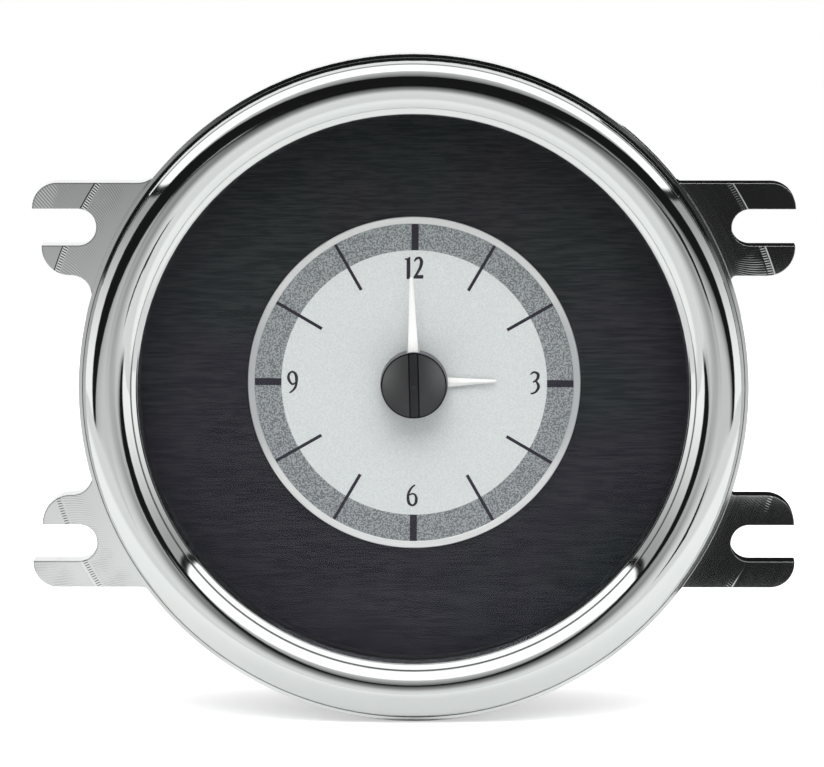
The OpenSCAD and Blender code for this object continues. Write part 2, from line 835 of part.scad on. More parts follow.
module board_spacers() {
    color("ivory") facing()
        screw_tubes(front_plate_z, board_back_z);
}

// Round movement plate with the holes of the movement screws
module plate_blank(z_high) {
    difference() {
        disc(plate_r, z_high - plate_t, z_high);
        for (angle = pillar_angles)
            hole(polar(pillar_ring_r, angle), movement_screw_r + snug, z_high - plate_t, z_high);
    }
}

module front_plate() {
    color("burlywood") facing()
        difference() {
            union() {
                plate_blank(front_plate_z);
                disc(bushing_r, front_plate_z - plate_t / 2, dial_back_z);
            }
            disc(pipe_r + running, front_plate_back_z - over, dial_back_z + over);
            hole(minute_post, pivot_r + running, front_plate_back_z, front_plate_z);
            hole(set_post, pivot_r + running, front_plate_back_z, front_plate_z);
        }
}

module middle_plate() {
    color("burlywood") facing()
        difference() {
            plate_blank(middle_plate_z);
            hole([0, 0], arbor_r + hub_wall, middle_plate_back_z, middle_plate_z);
            hole(minute_post, pivot_r + running, middle_plate_back_z, middle_plate_z);
            hole(set_post, stem_r + running, middle_plate_back_z, middle_plate_z);
            hole(third_post, pivot_r + running, middle_plate_back_z, middle_plate_z);
            hole(rotor_post, pivot_r + running, middle_plate_back_z, middle_plate_z);
        }
}

// Places of the two screws that hold the stator and the coil core together
module stator_screw_places() {
    for (side = [-1, 1])
        translate([stator_mid_x + side * leg_pitch / 2, coil_y]) children();
}

module rear_plate() {
    window_w = bobbin_len + 2 * loose;
    window_h = 2 * bobbin_flange_r + 2 * loose;
    color("burlywood") facing()
        difference() {
            union() {
                plate_blank(rear_plate_z);
                for (side = [-1, 1])
                    translate([stator_mid_x + side * leg_pitch / 2, rotor_post[1]])
                        disc(leg_w / 2, rear_plate_z - plate_t / 2, rear_plate_z + pad_h);
                stator_screw_places() disc(leg_w / 2, rear_plate_z - plate_t / 2, core_z - lamination_t);
            }
            hole([0, 0], arbor_r + running, rear_plate_back_z, rear_plate_z);
            hole(set_post, stem_r + loose, rear_plate_back_z, rear_plate_z);
            hole(third_post, pivot_r + running, rear_plate_back_z, rear_plate_z);
            hole(rotor_post, pivot_r + running, rear_plate_back_z, rear_plate_z);
            stator_screw_places() disc(stator_screw_r + snug, rear_plate_back_z - over, core_z);
            translate([stator_mid_x - window_w / 2, coil_y - window_h / 2, rear_plate_back_z - over])
                cube([window_w, window_h, plate_t + 2 * over]);
        }
}

module plate_pillars() {
    color("gold") facing() {
        screw_tubes(middle_plate_z, front_plate_back_z);
        screw_tubes(rear_plate_z, middle_plate_back_z);
    }
}

module movement_screws() {
    color("gray") facing()
        for (angle = pillar_angles)
            translate(polar(pillar_ring_r, angle)) {
                disc(movement_screw_r, rear_plate_back_z, board_z + screw_head_h / 2);
                disc(movement_head_r, board_z, board_z + screw_head_h);
            }
}

module minute_arbor() {
    color("silver") facing() {
        disc(arbor_r, rear_plate_back_z, arbor_tip_z);
        toothed(cannon_teeth, motion_module, 0, cannon_z, cannon_h, arbor_r / 2);
        disc(arbor_r + hub_wall / 2, collar_z - collar_t / 2, cannon_back_z + collar_t / 2);
        disc(collar_r, collar_z - collar_t, collar_z);
    }
}

module retaining_collet() {
    color("gold") facing()
        ring(collet_r, arbor_r + snug, centre_wheel_back_z - collet_h, centre_wheel_back_z);
}

module hour_wheel() {
    color("khaki") facing()
        difference() {
            union() {
                pierced_wheel(hour_teeth, motion_module, 0, hour_wheel_z, pipe_r / 2, pipe_r + hub_wall);
                disc(pipe_r + hub_wall, hour_wheel_back_z, hour_wheel_z + hour_wheel_hub_h);
                disc(pipe_r, hour_wheel_back_z, hour_hub_z + hour_hub_h);
            }
            disc(arbor_r + running, hour_wheel_back_z - over, hour_hub_z + hour_hub_h + over);
        }
}

module minute_wheel() {
    color("gold") facing()
        translate(minute_post)
            pierced_wheel(
                minute_wheel_teeth, motion_module, minute_wheel_turn,
                minute_wheel_z, wheel_arbor_r + snug, wheel_arbor_r + hub_wall
            );
}

module minute_pinion() {
    top_z = front_plate_back_z - end_shake;
    color("silver") facing()
        translate(minute_post) {
            toothed(
                minute_pinion_teeth, motion_module, minute_pinion_turn,
                top_z, top_z - minute_wheel_z, wheel_arbor_r / 2
            );
            disc(wheel_arbor_r, middle_plate_z + end_shake, top_z);
            disc(pivot_r, middle_plate_back_z, front_plate_z);
        }
}

module centre_wheel() {
    color("gold") facing()
        pierced_wheel(centre_teeth, train_module, 0, centre_wheel_z, arbor_r + running, clutch_r);
}

module clutch_spring() {
    color("silver") facing()
        rotate_extrude()
            polygon([
                [arbor_r + running, clutch_z], [collar_r, clutch_z], [clutch_r, centre_wheel_z + clutch_t],
                [clutch_r, centre_wheel_z], [collar_r, clutch_z - clutch_t],
                [arbor_r + running, clutch_z - clutch_t]
            ]);
}

module third_wheel() {
    color("gold") facing()
        translate(third_post)
            pierced_wheel(
                third_teeth, train_module, 0, third_wheel_z, wheel_arbor_r + snug, wheel_arbor_r + hub_wall
            );
}

module third_pinion() {
    top_z = centre_wheel_z + pinion_spare;
    color("silver") facing()
        translate(third_post) {
            toothed(
                third_pinion_teeth, train_module, third_pinion_turn,
                top_z, top_z - third_wheel_z, wheel_arbor_r / 2
            );
            disc(wheel_arbor_r, rear_plate_z + end_shake, middle_plate_back_z - end_shake);
            disc(pivot_r, rear_plate_back_z, middle_plate_z);
        }
}

module rotor_arbor() {
    top_z = third_wheel_z + pinion_spare;
    color("silver") facing()
        translate(rotor_post) {
            toothed(
                rotor_teeth, train_module, rotor_turn,
                top_z, wheel_t + 2 * pinion_spare, wheel_arbor_r / 2
            );
            disc(wheel_arbor_r, magnet_back_z, middle_plate_back_z - end_shake);
            disc(pivot_r, rear_plate_back_z, middle_plate_z);
        }
}

module rotor_magnet() {
    color("dimgray") facing()
        translate(rotor_post)
            ring(magnet_r, wheel_arbor_r + snug, magnet_back_z, magnet_z);
}

module stator() {
    half_w = leg_pitch / 2 + leg_w / 2;
    color("lightgray") facing()
        translate([0, 0, stator_z - lamination_t])
            linear_extrude(lamination_t)
                difference() {
                    union() {
                        translate([stator_mid_x - half_w, rotor_post[1] - stator_w / 2])
                            square([2 * half_w, stator_w]);
                        for (side = [-1, 1])
                            translate([stator_mid_x + side * leg_pitch / 2 - leg_w / 2, rotor_post[1]])
                                square([leg_w, coil_rise + leg_w / 2]);
                    }
                    translate(rotor_post) circle(magnet_r + air_gap);
                    for (side = [-1, 1])
                        translate(rotor_post + [0, side * stator_w / 2]) circle(neck_notch_r);
                    translate(third_post) circle(wheel_arbor_r + hub_wall);
                    stator_screw_places() circle(stator_screw_r + loose);
                }
}

module coil_core() {
    half_w = leg_pitch / 2 + leg_w / 2;
    color("lightgray") facing()
        translate([0, 0, core_z - lamination_t])
            linear_extrude(lamination_t)
                difference() {
                    translate([stator_mid_x - half_w, coil_y - core_w / 2]) square([2 * half_w, core_w]);
                    stator_screw_places() circle(stator_screw_r + loose);
                }
}

// Round body along the coil's axis, centred between the stator's legs
module coil_round(r, len) {
    translate([stator_mid_x - len / 2, coil_y, coil_z]) rotate([0, 90, 0]) cylinder(r = r, h = len);
}

module coil_bobbin() {
    flange_gap = bobbin_len / 2 - bobbin_flange_t / 2;
    color("seashell") facing()
        difference() {
            union() {
                coil_round(bobbin_tube_r, bobbin_len);
                for (side = [-1, 1])
                    translate([side * flange_gap, 0, 0]) coil_round(bobbin_flange_r, bobbin_flange_t);
            }
            translate([stator_mid_x - bobbin_len, coil_y - core_w / 2 - snug, core_z - lamination_t - snug])
                cube([2 * bobbin_len, core_w + 2 * snug, lamination_t + 2 * snug]);
        }
}

module coil_winding() {
    color("orangered") facing()
        difference() {
            coil_round(coil_r, bobbin_len - 2 * bobbin_flange_t);
            coil_round(bobbin_tube_r + snug, bobbin_len);
        }
}

module stator_screws() {
    color("gray") facing()
        stator_screw_places() {
            disc(stator_screw_r, rear_plate_back_z, stator_z + screw_head_h / 2);
            disc(stator_head_r, stator_z, stator_z + screw_head_h);
        }
}

module set_stem() {
    color("silver") facing()
        translate(set_post) {
            toothed(set_teeth, motion_module, set_turn, cannon_z, cannon_h, stem_r / 2);
            disc(stem_r, knob_z - knob_len / 2, cannon_z);
            disc(wheel_arbor_r, cannon_z - collar_t, front_plate_back_z - end_shake);
            disc(pivot_r, cannon_z, front_plate_z);
        }
}

module set_knob() {
    color("black") facing()
        translate(set_post)
            difference() {
                rotate_extrude()
                    polygon([
                        [0, knob_z], [knob_r - knob_edge, knob_z], [knob_r, knob_z - knob_edge],
                        [knob_r, knob_z - knob_len + knob_edge],
                        [knob_r - knob_edge, knob_z - knob_len], [0, knob_z - knob_len]
                    ]);
                for (i = [1 : knob_flutes])
                    translate(polar(knob_r + flute_r / 2, i * 360 / knob_flutes))
                        disc(flute_r, knob_z - knob_len - over, knob_z + over);
                disc(stem_r + snug, knob_z - knob_len / 2 - snug, knob_z + over);
            }
}

module stem_bush() {
    tube_r = stem_r + running + stem_bush_wall;
    color("gold") facing()
        translate(set_post)
            difference() {
                union() {
                    disc(tube_r, case_back_z - stem_bush_flange_t, case_floor_z);
                    disc(stem_bush_flange_r, case_back_z - stem_bush_flange_t, case_back_z);
                }
                disc(stem_r + running, case_back_z - over, case_floor_z + over);
            }
}

module connector_socket() {
    flange_size = [plug_w + 2 * plug_flange, plug_h + 2 * plug_flange];
    color("black") facing()
        translate([0, -plug_drop, 0])
            difference() {
                union() {
                    translate([0, 0, plug_back_z])
                        linear_extrude(case_floor_z + plug_flange_t - plug_back_z)
                            square([plug_w, plug_h], center = true);
                    translate([0, 0, case_floor_z])
                        linear_extrude(plug_flange_t)
                            square(flange_size, center = true);
                }
                translate([0, 0, plug_back_z - over])
                    linear_extrude(socket_depth + over)
                        square([plug_w - 2 * plug_wall, plug_h - 2 * plug_wall], center = true);
                translate([-key_w / 2, 0, plug_back_z - over])
                    cube([key_w, plug_h, socket_depth / 2 + over]);
                translate([0, plug_drop, socket_floor_z - over])
                    linear_extrude(case_floor_z + plug_flange_t - socket_floor_z + 2 * over)
                        pin_row(pin_w + 2 * snug);
            }
}

module connector_pins() {
    low_z = socket_floor_z - pin_reach;
    color("gold") facing()
        translate([0, 0, low_z])
            linear_extrude(board_z + pin_solder - low_z)
                pin_row(pin_w);
}

bezel();
lens_gasket();
lens();
spacer_ring();
dial_plate();
dial_centre();
light_guide();
hour_hand();
minute_hand();
hub_cap();
case_gasket();
rear_case();
case_screws();
circuit_board();
board_screws();
dial_lamps();
control_chip();
quartz_crystal();
smoothing_capacitor();
board_spacers();
front_plate();
middle_plate();
rear_plate();
plate_pillars();
movement_screws();
minute_arbor();
retaining_collet();
hour_wheel();
minute_wheel();
minute_pinion();
centre_wheel();
clutch_spring();
third_wheel();
third_pinion();
rotor_arbor();
rotor_magnet();
stator();
coil_core();
coil_bobbin();
coil_winding();
stator_screws();
set_stem();
set_knob();
stem_bush();
connector_socket();
connector_pins();
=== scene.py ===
import math

import bmesh
import bpy
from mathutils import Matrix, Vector


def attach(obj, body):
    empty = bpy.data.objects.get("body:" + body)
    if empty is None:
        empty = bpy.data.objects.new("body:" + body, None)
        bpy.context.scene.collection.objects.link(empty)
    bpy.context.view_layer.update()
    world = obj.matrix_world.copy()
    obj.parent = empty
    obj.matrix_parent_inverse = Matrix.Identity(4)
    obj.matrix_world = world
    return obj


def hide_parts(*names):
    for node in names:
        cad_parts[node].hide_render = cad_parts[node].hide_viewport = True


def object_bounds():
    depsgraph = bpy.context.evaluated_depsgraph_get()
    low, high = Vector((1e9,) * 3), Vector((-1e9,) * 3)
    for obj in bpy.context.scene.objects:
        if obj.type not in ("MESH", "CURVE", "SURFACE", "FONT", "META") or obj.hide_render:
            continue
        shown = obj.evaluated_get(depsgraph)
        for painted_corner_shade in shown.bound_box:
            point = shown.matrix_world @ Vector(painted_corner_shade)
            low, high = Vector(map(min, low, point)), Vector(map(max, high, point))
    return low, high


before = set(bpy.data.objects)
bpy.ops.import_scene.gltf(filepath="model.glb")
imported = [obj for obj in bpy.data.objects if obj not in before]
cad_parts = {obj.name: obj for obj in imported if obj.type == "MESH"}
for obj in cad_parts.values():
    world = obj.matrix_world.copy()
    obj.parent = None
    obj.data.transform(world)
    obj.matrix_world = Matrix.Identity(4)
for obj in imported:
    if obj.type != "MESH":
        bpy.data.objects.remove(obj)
cad_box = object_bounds()

# Bezel: one piece machined from bar, a low rounded crown on a rim, with four slotted ears for the dash studs.
# The crown is buffed to a mirror, and the ears keep the faint arcs of the end mill that faced them in two rounds.

MM_PER_M = 1000.0


class Graph:
    """Short calls that add nodes to one tree and join them; an input may be a plain value or a node's output."""

    def __init__(self, tree):
        self.tree = tree

    def feed(self, socket, value):
        if isinstance(value, bpy.types.NodeSocket):
            self.tree.links.new(value, socket)
        elif socket.type == "RGBA":
            socket.default_value = (*value, 1.0)
        else:
            socket.default_value = value

    def node(self, kind, settings=None, inputs=None):
        made = self.tree.nodes.new("ShaderNode" + kind)
        for key, value in (settings or {}).items():
            setattr(made, key, value)
        for key, value in (inputs or {}).items():
            self.feed(made.inputs[key], value)
        return made

    def math(self, operation, *values):
        return self.node("Math", {"operation": operation}, dict(enumerate(values))).outputs[0]

    def product(self, first, *others):
        for other in others:
            first = self.math("MULTIPLY", first, other)
        return first

    def total(self, first, *others):
        for other in others:
            first = self.math("ADD", first, other)
        return first

    def mean(self, first, second):
        return self.product(self.total(first, second), 0.5)

    def wave(self, value, rate):
        return self.math("SINE", self.product(value, rate))

    def hypotenuse(self, x, z):
        return self.math("SQRT", self.total(self.product(x, x), self.product(z, z)))

    def span(self, value, low, high, start=0.0, end=1.0, easing="SMOOTHSTEP"):
        """A value between low and high taken from start to end, and held outside."""
        given = dict(enumerate((value, low, high, start, end)))
        return self.node("MapRange", {"interpolation_type": easing}, given).outputs[0]

    def fall(self, value, low, high):
        """1 up to low, eased down to 0 at high."""
        return self.span(value, low, high, 1.0, 0.0)

    def band(self, value, lower, upper):
        """1 between two edges, each given by the two ends of its ramp."""
        return self.product(self.span(value, *lower), self.fall(value, *upper))

    def line(self, value, middle, core, reach, strength=1.0):
        """A soft line where a value is near middle: at full strength within core, and gone at reach."""
        off = self.math("ABSOLUTE", self.math("SUBTRACT", value, middle))
        return self.span(off, core, reach, strength, 0.0)

    def colour(self, factor, first, second):
        """One colour going over to another by a factor from 0 to 1."""
        given = {0: factor, 6: first, 7: second}
        return self.node("Mix", {"data_type": "RGBA"}, given).outputs[2]

    def level(self, factor, first, second):
        """One number going over to another by a factor from 0 to 1."""
        return self.node("Mix", {"data_type": "FLOAT"}, {0: factor, 2: first, 3: second}).outputs[0]

    def vector(self, operation, *values):
        made = self.node("VectorMath", {"operation": operation}, dict(enumerate(values)))
        return made.outputs["Value" if operation == "DOT_PRODUCT" else "Vector"]

    def parts(self, vector):
        return self.node("SeparateXYZ", None, {0: vector}).outputs


class Finish(Graph):
    """A procedural finish on the principled shader, in the piece's own millimetres."""

    def __init__(self, name, plain):
        self.material = bpy.data.materials.new(name)
        self.material.use_nodes = True
        super().__init__(self.material.node_tree)
        self.shader = self.tree.nodes["Principled BSDF"]
        for key, value in plain.items():
            self.set(key, value)
        place = self.node("TexCoord").outputs["Object"]
        self.place = self.node("VectorMath", {"operation": "SCALE"}, {0: place, 3: MM_PER_M}).outputs[0]
        self.x, self.y, self.z = self.parts(self.place)

    def noise(self, scale, stretch=(1.0, 1.0, 1.0), detail=2.0, place=None):
        there = self.vector("MULTIPLY", place or self.place, stretch)
        return self.node("TexNoise", None, {"Vector": there, "Scale": scale, "Detail": detail}).outputs[0]

    def polar(self, centre=(0.0, 0.0)):
        """Radius and angle about an axis along y through centre, and the place along it."""
        x = self.math("SUBTRACT", self.x, centre[0])
        z = self.math("SUBTRACT", self.z, centre[1])
        return self.hypotenuse(x, z), self.math("ARCTAN2", z, x), self.y

    def turning(self, stretch, detail, centre=(0.0, 0.0)):
        """Noise drawn out round an axis, as a lathe tool leaves it; stretch is by radius, angle and place along."""
        swirl = self.node("CombineXYZ", None, dict(enumerate(self.polar(centre)))).outputs[0]
        return self.noise(1.0, stretch, detail, swirl)

    def set(self, key, value):
        self.feed(self.shader.inputs[key], value)

    def bump(self, height, depth, normal=None):
        """Relief of the given depth in millimetres, on the mesh's own normal or on a given one."""
        given = {"Height": height, "Distance": depth / MM_PER_M, "Strength": 1.0}
        if normal:
            given["Normal"] = normal
        self.set("Normal", self.node("Bump", None, given).outputs[0])

    def grained(self, grain, dark, light, rough, relief=None):
        """One grain that drives the colour, the roughness between two ends and, with a depth, the relief."""
        self.set("Base Color", self.colour(grain, dark, light))
        self.set("Roughness", self.level(grain, *rough))
        if relief:
            self.bump(grain, relief)

    def dress(self, *names):
        for name in names:
            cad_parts[name].material_slots[0].material = self.material


AXIS = (0.0, 1.0, 0.0)
EAR_R, EAR_Y = (52.7, 52.9), (-0.3, -0.2)
CROWN_R, CROWN_Y = (52.5, 52.6), (-0.5, -0.4)
CUTTER_PATH_R, CUTTER_CENTRE_R, CUTTER_R_SQUARED = 57.5, 60.5, 110.0
TOOTH_PITCH = 0.4
FIRST_ROUND, DASHES = ((53.2, 56.0), (58.2, 58.4)), ((58.5, 58.65), (59.2, 59.36))
SECOND_ROUND, SECOND_ROUND_FULL, SECOND_ROUND_SLANT = (59.36, 59.62), (60.8, 63.6), 0.36
RELIEF_UNIT, MARK_RELIEF, DASH_RELIEF, STEP_RELIEF, HAIRLINE_RELIEF = 0.01, 0.25, 0.8, -5.0, 0.007
LIP_R, LIP_LEAN, LIP_END = (43.35, 43.75), (0.28, 0.5), (44.2, 44.3)
CREASE_R, SHOULDER_R, CORNER_R = 44.37, 51.27, 52.05
EDGE_SAMPLES, EDGE_EASE, EAR_OUTLINE = 4, 0.00012, 0.0004

billet = Finish("polished_billet", {"Metallic": 1.0})
radius, angle, depth = billet.polar()
hairline = billet.turning((9.0, 1.2, 9.0), 3.0)
cloud = billet.noise(0.12)
on_ear = billet.product(billet.span(radius, *EAR_R), billet.span(depth, *EAR_Y))

# the end mill's marks: arcs of its teeth, dashes along the step between the rounds, and slanted marks near the tips
sweep = billet.math("SUBTRACT", radius, CUTTER_CENTRE_R)
sweep = billet.math("SQRT", billet.math("SUBTRACT", CUTTER_R_SQUARED, billet.product(sweep, sweep)))
second_round = billet.span(radius, *SECOND_ROUND)
sweep = billet.level(second_round, sweep, billet.product(radius, SECOND_ROUND_SLANT))
travel = billet.total(billet.product(angle, CUTTER_PATH_R), sweep)
tooth = billet.wave(travel, 2.0 * math.pi / TOOTH_PITCH)
bite = billet.span(billet.noise(0.35, detail=1.0), 0.35, 0.65, 0.4, 1.0)
first = billet.band(radius, *FIRST_ROUND)
second = billet.product(billet.span(radius, *SECOND_ROUND_FULL), second_round)
dash = billet.band(radius, *DASHES)
right_sharp = billet.span(billet.z, -1.0, 1.0, 0.07, 0.3)
sharp = billet.product(billet.level(billet.span(billet.x, -1.0, 1.0), 1.0, right_sharp), on_ear)
deep = billet.product(billet.total(first, second), bite, sharp)
step = billet.total(billet.product(second_round, STEP_RELIEF), billet.product(tooth, dash, DASH_RELIEF))
marks = billet.total(billet.product(tooth, deep, MARK_RELIEF), billet.product(step, sharp))
relief = billet.total(marks, billet.product(hairline, HAIRLINE_RELIEF))

# the turned crown: no part of its shading normal lies along the turning, and its narrow lip leans in to the dial
eased = billet.node("Bevel", {"samples": EDGE_SAMPLES}, {"Radius": EDGE_EASE}).outputs[0]
around = billet.vector("NORMALIZE", billet.vector("CROSS_PRODUCT", billet.place, AXIS))
outward = billet.vector("CROSS_PRODUCT", AXIS, around)
on_crown = billet.product(billet.fall(radius, *CROWN_R), billet.fall(depth, *CROWN_Y))
along = billet.vector("MULTIPLY", around, billet.vector("DOT_PRODUCT", eased, around))
along = billet.vector("MULTIPLY", along, on_crown)
lean = billet.product(billet.span(radius, *LIP_R, *LIP_LEAN), billet.fall(radius, *LIP_END), on_crown)
excess = billet.vector("ADD", along, billet.vector("MULTIPLY", outward, lean))
billet.bump(relief, RELIEF_UNIT, billet.vector("NORMALIZE", billet.vector("SUBTRACT", eased, excess)))

# painted shade and painted dark reflection: dark lines in the lip's crease, at the crown's outer edges and along the
# upper edges of the left ears
crease = billet.line(radius, CREASE_R, 0.04, 0.13, 0.65)
crease = billet.product(crease, billet.span(billet.z, 2.0, 10.0, 1.0, 0.12))
shoulder = billet.product(billet.line(radius, SHOULDER_R, 0.05, 0.15, 0.75), billet.span(billet.z, 20.0, 32.0))
painted_corner_shade = billet.total(billet.line(radius, CORNER_R, 0.03, 0.1, 0.8), shoulder)
painted_shade_lines = billet.product(billet.total(crease, painted_corner_shade), billet.fall(depth, -4.6, -4.2))
edge = billet.parts(billet.node("Bevel", {"samples": EDGE_SAMPLES}, {"Radius": EAR_OUTLINE}).outputs[0])
raised = billet.math("SUBTRACT", billet.product(edge["Z"], 0.8), billet.product(edge["X"], 0.6))
outline = billet.product(billet.span(raised, 0.1, 0.22), billet.fall(depth, 0.1, 0.25))
outline = billet.product(outline, billet.product(on_ear, billet.span(billet.x, -1.0, 1.0, 0.9, 0.0)))
painted_shade_lines = billet.math("MAXIMUM", painted_shade_lines, outline)

buffed = billet.colour(cloud, (0.68, 0.705, 0.695), (0.715, 0.735, 0.722))
cut = billet.product(billet.span(tooth, -0.1, 0.9), billet.product(deep, 0.25))
milled = billet.colour(cut, buffed, (0.16, 0.165, 0.165))
# the painted shade lines darken the milled metal's colour
billet.set("Base Color", billet.colour(painted_shade_lines, milled, (0.04, 0.04, 0.042)))
billet.set("Roughness", billet.level(hairline, 0.02, 0.075))
billet.dress("bezel")

# Lens gasket and lens: a black rubber ring under the bezel's lip, and a flat clear acrylic lens pressed against it.
# The lens has an anti-glare coat, so the dial shows through it without a glare of the room.

rubber = Finish("black_rubber", {"Specular IOR Level": 0.35})
speck = rubber.noise(5.0, detail=4.0)
rubber.grained(speck, (0.012, 0.012, 0.012), (0.03, 0.03, 0.031), (0.6, 0.85), 0.02)
rubber.dress("lens_gasket", "case_gasket")

coat = {"IOR": 1.49, "Transmission Weight": 1.0, "Specular Tint": (0.12, 0.11, 0.16)}
lens = Finish("coated_acrylic", coat)
wipe = lens.noise(0.25, (1.0, 1.0, 0.3), 3.0)
lens.set("Base Color", lens.colour(wipe, (0.985, 0.99, 0.985), (1.0, 1.0, 1.0)))
lens.set("Roughness", lens.span(wipe, 0.4, 0.8, 0.0, 0.012))
ray = lens.node("LightPath").outputs
clear = lens.node("BsdfTransparent").outputs[0]
passing = lens.math("MAXIMUM", ray["Is Shadow Ray"], ray["Is Diffuse Ray"])
mixed = lens.node("MixShader", None, {0: passing, 1: lens.shader.outputs[0], 2: clear}).outputs[0]
lens.feed(lens.tree.nodes["Material Output"].inputs["Surface"], mixed)
lens.dress("lens")

# Spacer ring: a black moulded ring that holds the lens off the dial, with the satin grain of its mould.
# It drops into the bezel's bore behind the lens and is pressed home by the case.


def moulded(name, dark, light, rough, grain=6.0, relief=0.012):
    """Moulded plastic: a fine mould grain, with slow clouding of its colour."""
    made = Finish(name, {"Specular IOR Level": 0.45})
    fine = made.noise(grain, detail=3.0)
    slow = made.noise(0.2)
    made.base = made.colour(made.mean(fine, slow), dark, light)
    made.set("Base Color", made.base)
    made.set("Roughness", made.level(fine, rough - 0.08, rough + 0.08))
    made.bump(fine, relief)
    return made


black_plastic = moulded("black_plastic", (0.012, 0.012, 0.013), (0.022, 0.022, 0.024), rough=0.5)
black_plastic.dress("spacer_ring", "set_knob", "connector_socket", "control_chip")

# Dial plate: a thin aluminium disc, brushed from side to side and dyed black.
# It has a round opening for the dial centre and lies on the light guide.

dial_black = Finish("dial_black", {"Metallic": 0.35, "Specular IOR Level": 0.35})
stroke = dial_black.noise(1.0, (0.2, 1.0, 3.4), 3.0)
fibre = dial_black.noise(1.0, (0.4, 1.0, 6.0))
brushed = dial_black.mean(stroke, fibre)
dye = dial_black.span(dial_black.noise(0.035, detail=1.0), 0.4, 0.6)
dark = dial_black.colour(dye, (0.006, 0.010, 0.010), (0.009, 0.008, 0.012))
pale = dial_black.colour(dye, (0.021, 0.026, 0.027), (0.024, 0.024, 0.028))
dial_black.set("Base Color", dial_black.colour(dial_black.span(brushed, 0.42, 0.58), dark, pale))
dial_black.set("Roughness", dial_black.level(brushed, 0.42, 0.6))
dial_black.bump(brushed, 0.002)
dial_black.dress("dial_plate")

# Dial centre: a disc painted in silver flake, with a coarser grey hour ring screened on it and a bright turned rim.
# The marks and numbers are printed over the paint in purple-black ink and stand proud by the thickness of the ink.

RING_INNER_R, RING_BLUR = 21.0, 0.05

dial_silver = Finish("silver_flake", {"Metallic": 0.25, "Specular IOR Level": 0.3})
radius = dial_silver.polar()[0]
flake = dial_silver.noise(4.2, detail=1.0)
coarse = dial_silver.noise(4.0, detail=0.0)
field = dial_silver.colour(dial_silver.span(flake, 0.3, 0.7), (0.60, 0.635, 0.635), (0.69, 0.72, 0.72))
speckle = dial_silver.span(coarse, 0.35, 0.65)
hour_ring = dial_silver.colour(speckle, (0.145, 0.157, 0.163), (0.335, 0.362, 0.372))
in_ring = dial_silver.span(radius, RING_INNER_R - RING_BLUR, RING_INNER_R + RING_BLUR)
dial_silver.set("Base Color", dial_silver.colour(in_ring, field, hour_ring))
dial_silver.set("Roughness", dial_silver.level(flake, 0.5, 0.7))
dial_silver.bump(flake, 0.006)
dial_silver.dress("dial_centre")


def finish_piece(bm, name, body, material, sharp=35.0):
    """Turns a bmesh into a smooth-shaded piece that rides on a body."""
    bmesh.ops.recalc_face_normals(bm, faces=bm.faces)
    mesh = bpy.data.meshes.new(name)
    bm.to_mesh(mesh)
    bm.free()
    mesh.shade_smooth()
    mesh.set_sharp_from_angle(angle=math.radians(sharp))
    mesh.materials.append(material)
    piece = bpy.data.objects.new(name, mesh)
    bpy.context.scene.collection.objects.link(piece)
    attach(piece, body)
    return piece


def skin(bm, rows):
    """Joins closed rows of points, each to the next."""
    for here, there in zip(rows, rows[1:]):
        for j in range(len(here)):
            k = (j + 1) % len(here)
            bm.faces.new((here[j], here[k], there[k], there[j]))


def turned(bm, section, steps):
    """Turns a closed section of (radius, y) in millimetres about the dial's axis."""
    rings = []
    for i in range(steps):
        turn = 2.0 * math.pi * i / steps
        spots = [Vector((r * math.cos(turn), y, r * math.sin(turn))) for r, y in section]
        rings.append([bm.verts.new(p / MM_PER_M) for p in spots])
    skin(bm, rings + rings[:1])


RIM_STEPS = 240
RIM_SECTION = (
    (25.2, 5.3), (26.2, 5.3), (26.2, 5.6), (26.3, 5.6), (26.3, 5.25), (26.22, 5.17), (25.28, 5.17), (25.2, 5.24),
)
bm = bmesh.new()
turned(bm, RIM_SECTION, RIM_STEPS)
rim_metal = Finish("turned_rim", {"Metallic": 0.6})
angle = rim_metal.polar()[1]
groove = rim_metal.turning((9.0, 1.5, 0.0), 2.0)
# painted sheen: a lit and a shaded copy of the rim's colour, lighter at top and bottom and darker at its left and
# right sides
painted_lit_rim = rim_metal.colour(groove, (0.72, 0.73, 0.73), (0.82, 0.83, 0.83))
painted_shaded_rim = rim_metal.colour(groove, (0.48, 0.50, 0.51), (0.55, 0.57, 0.58))
painted_side_shade = rim_metal.span(rim_metal.math("ABSOLUTE", rim_metal.math("COSINE", angle)), 0.8, 0.99)
rim_metal.set("Base Color", rim_metal.colour(painted_side_shade, painted_lit_rim, painted_shaded_rim))
rim_metal.set("Roughness", rim_metal.level(groove, 0.28, 0.4))
rim_metal.bump(groove, 0.012)
finish_piece(bm, "dial_rim", "case", rim_metal.material)

INK_BACK, INK_FACE, INK_OVER = 5.3, 5.27, 5.268
STROKE_STEPS, BOW_STEPS = 8, 8


def inked(bm, outline, face=INK_FACE):
    """A flat patch of ink with the given outline of (x, z) in millimetres."""
    top = [bm.verts.new((x / MM_PER_M, face / MM_PER_M, z / MM_PER_M)) for x, z in outline]
    foot = [bm.verts.new((x / MM_PER_M, INK_BACK / MM_PER_M, z / MM_PER_M)) for x, z in outline]
    bm.faces.new(top)
    bm.faces.new(list(reversed(foot)))
    skin(bm, [foot, top])


